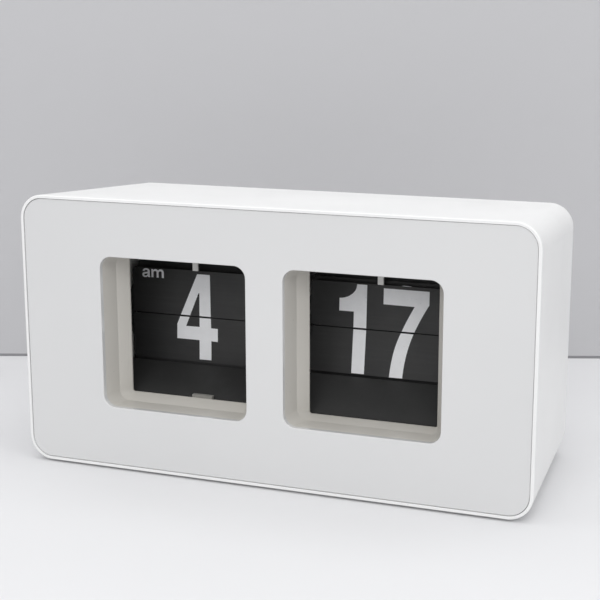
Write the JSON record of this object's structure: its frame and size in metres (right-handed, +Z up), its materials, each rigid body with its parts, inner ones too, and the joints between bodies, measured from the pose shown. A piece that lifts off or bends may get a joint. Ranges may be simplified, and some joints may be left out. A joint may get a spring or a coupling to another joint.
{
  "type": "flip number clock",
  "caption": "Flip number clock in a tapered white box case, with hour and minute leaf drums behind two square windows and a thumbwheel at the back.",
  "frame": {"origin": "middle of the clock's footprint on the table, under the rubber feet", "axes": "+X to the right seen from the front, the display faces -Y, +Z up"},
  "size_m": [0.195, 0.0804, 0.1024],
  "materials": {
    "case_white": "fine satin moulding",
    "panel_gloss": "high gloss",
    "bezel_white": "satin",
    "cover_white": "fine texture",
    "bay_white": "satin",
    "leaf_black": "semi-gloss film",
    "drum_black": "satin",
    "guard_black": "satin",
    "plate_white": "satin",
    "catch_white": "satin",
    "gear_nylon": "waxy",
    "pinion_brass": "machined",
    "steel": "ground",
    "screw_steel": "plated",
    "contact_metal": "nickel plated",
    "motor_metal": "drawn can",
    "cell_jacket": "printed sleeve",
    "thumbwheel_grey": "satin",
    "foot_rubber": "matt",
    "buffer_grey": "foam",
    "board_green": "solder resist",
    "chip_black": "moulded",
    "crystal_can": "drawn can",
    "lead_red": "insulation",
    "lead_black": "insulation"
  },
  "bodies": {
    "clock": {"case_sleeve": "case_white", "front_panel": "panel_gloss", "window_bezel": "bezel_white", "back_cover": "cover_white", "battery_bay": "bay_white", "hour_leaf_pack": "leaf_black", "minute_leaf_pack": "leaf_black", "hour_lower_leaf": "leaf_black", "minute_lower_leaf": "leaf_black", "leaf_guards": "guard_black", "left_plate": "plate_white", "centre_plate": "plate_white", "right_plate": "plate_white", "gear_plate": "plate_white", "catch_bar": "catch_white", "hour_catch": "catch_white", "minute_catch": "catch_white", "centre_washers": "gear_nylon", "board_posts": "gear_nylon", "main_axle": "steel", "axle_clip": "steel", "frame_rods": "steel", "frame_spacers": "steel", "cover_screws": "screw_steel", "foot_screws": "screw_steel", "frame_nuts": "screw_steel", "gear_pillars": "screw_steel", "negative_spring": "contact_metal", "negative_plate": "contact_metal", "positive_contact": "contact_metal", "motor_can": "motor_metal", "battery_cell_1": "cell_jacket", "battery_cell_2": "cell_jacket", "rubber_feet": "foot_rubber", "leaf_buffer": "buffer_grey", "drive_board": "board_green", "timing_chip": "chip_black", "quartz_crystal": "crystal_can", "battery_leads": "lead_red", "motor_leads": "lead_black"},
    "minute_drum": {"minute_drum_tube": "drum_black", "minute_outer_disc": "drum_black", "minute_inner_disc": "drum_black", "minute_gear": "gear_nylon"},
    "hour_drum": {"hour_drum_tube": "drum_black", "hour_outer_disc": "drum_black", "hour_inner_disc": "drum_black"},
    "carry_wheel": {"carry_pinion": "gear_nylon", "carry_star": "gear_nylon"},
    "idler": {"idler_pinion": "pinion_brass", "idler_gear": "gear_nylon", "idler_arbor": "steel"},
    "motor_rotor": {"motor_pinion": "pinion_brass", "motor_shaft": "steel"},
    "set_wheel": {"set_gear": "gear_nylon", "set_thumbwheel": "thumbwheel_grey", "set_arbor": "steel"},
    "minute_leaf": {"minute_upper_leaf": "leaf_black"},
    "hour_leaf": {"hour_upper_leaf": "leaf_black"},
    "door": {"battery_door": "cover_white"}
  },
  "joints": [
    {"name": "minute_drum_turn", "type": "hinge", "parent": "clock", "child": "minute_drum", "pos_m": [0.0375, 0.00822, 0.0529], "axis": [1, 0, 0], "continuous": true},
    {"name": "hour_drum_turn", "type": "hinge", "parent": "clock", "child": "hour_drum", "pos_m": [-0.0375, 0.00822, 0.0529], "axis": [1, 0, 0], "continuous": true},
    {"name": "carry_wheel_turn", "type": "hinge", "parent": "clock", "child": "carry_wheel", "pos_m": [0, 0.02205, 0.04045], "axis": [1, 0, 0], "continuous": true},
    {"name": "idler_turn", "type": "hinge", "parent": "clock", "child": "idler", "pos_m": [0.0765, 0.00207, 0.03599], "axis": [1, 0, 0], "continuous": true},
    {"name": "motor_turn", "type": "hinge", "parent": "clock", "child": "motor_rotor", "pos_m": [0.079, 0.01506, 0.02849], "axis": [1, 0, 0], "continuous": true},
    {"name": "set_wheel_turn", "type": "hinge", "parent": "clock", "child": "set_wheel", "pos_m": [0.082, 0.02923, 0.0529], "axis": [1, 0, 0], "continuous": true},
    {"name": "minute_leaf_fall", "type": "hinge", "parent": "clock", "child": "minute_leaf", "pos_m": [0.0375, -0.00469, 0.05437], "axis": [1, 0, 0], "range_deg": [0, 166]},
    {"name": "hour_leaf_fall", "type": "hinge", "parent": "clock", "child": "hour_leaf", "pos_m": [-0.0375, -0.00467, 0.05454], "axis": [1, 0, 0], "range_deg": [0, 172]},
    {"name": "battery_door_hinge", "type": "hinge", "parent": "clock", "child": "door", "pos_m": [0, 0.03667, 0.0067], "axis": [-1, 0, 0], "range_deg": [0, 90]}
  ],
  "couplings": [
    {"joint": "hour_drum_turn", "follows": "minute_drum_turn", "ratio": 0.041667},
    {"joint": "carry_wheel_turn", "follows": "minute_drum_turn", "ratio": -0.16667},
    {"joint": "idler_turn", "follows": "minute_drum_turn", "ratio": -5},
    {"joint": "motor_turn", "follows": "minute_drum_turn", "ratio": 20},
    {"joint": "set_wheel_turn", "follows": "minute_drum_turn", "ratio": -2.5}
  ]
}
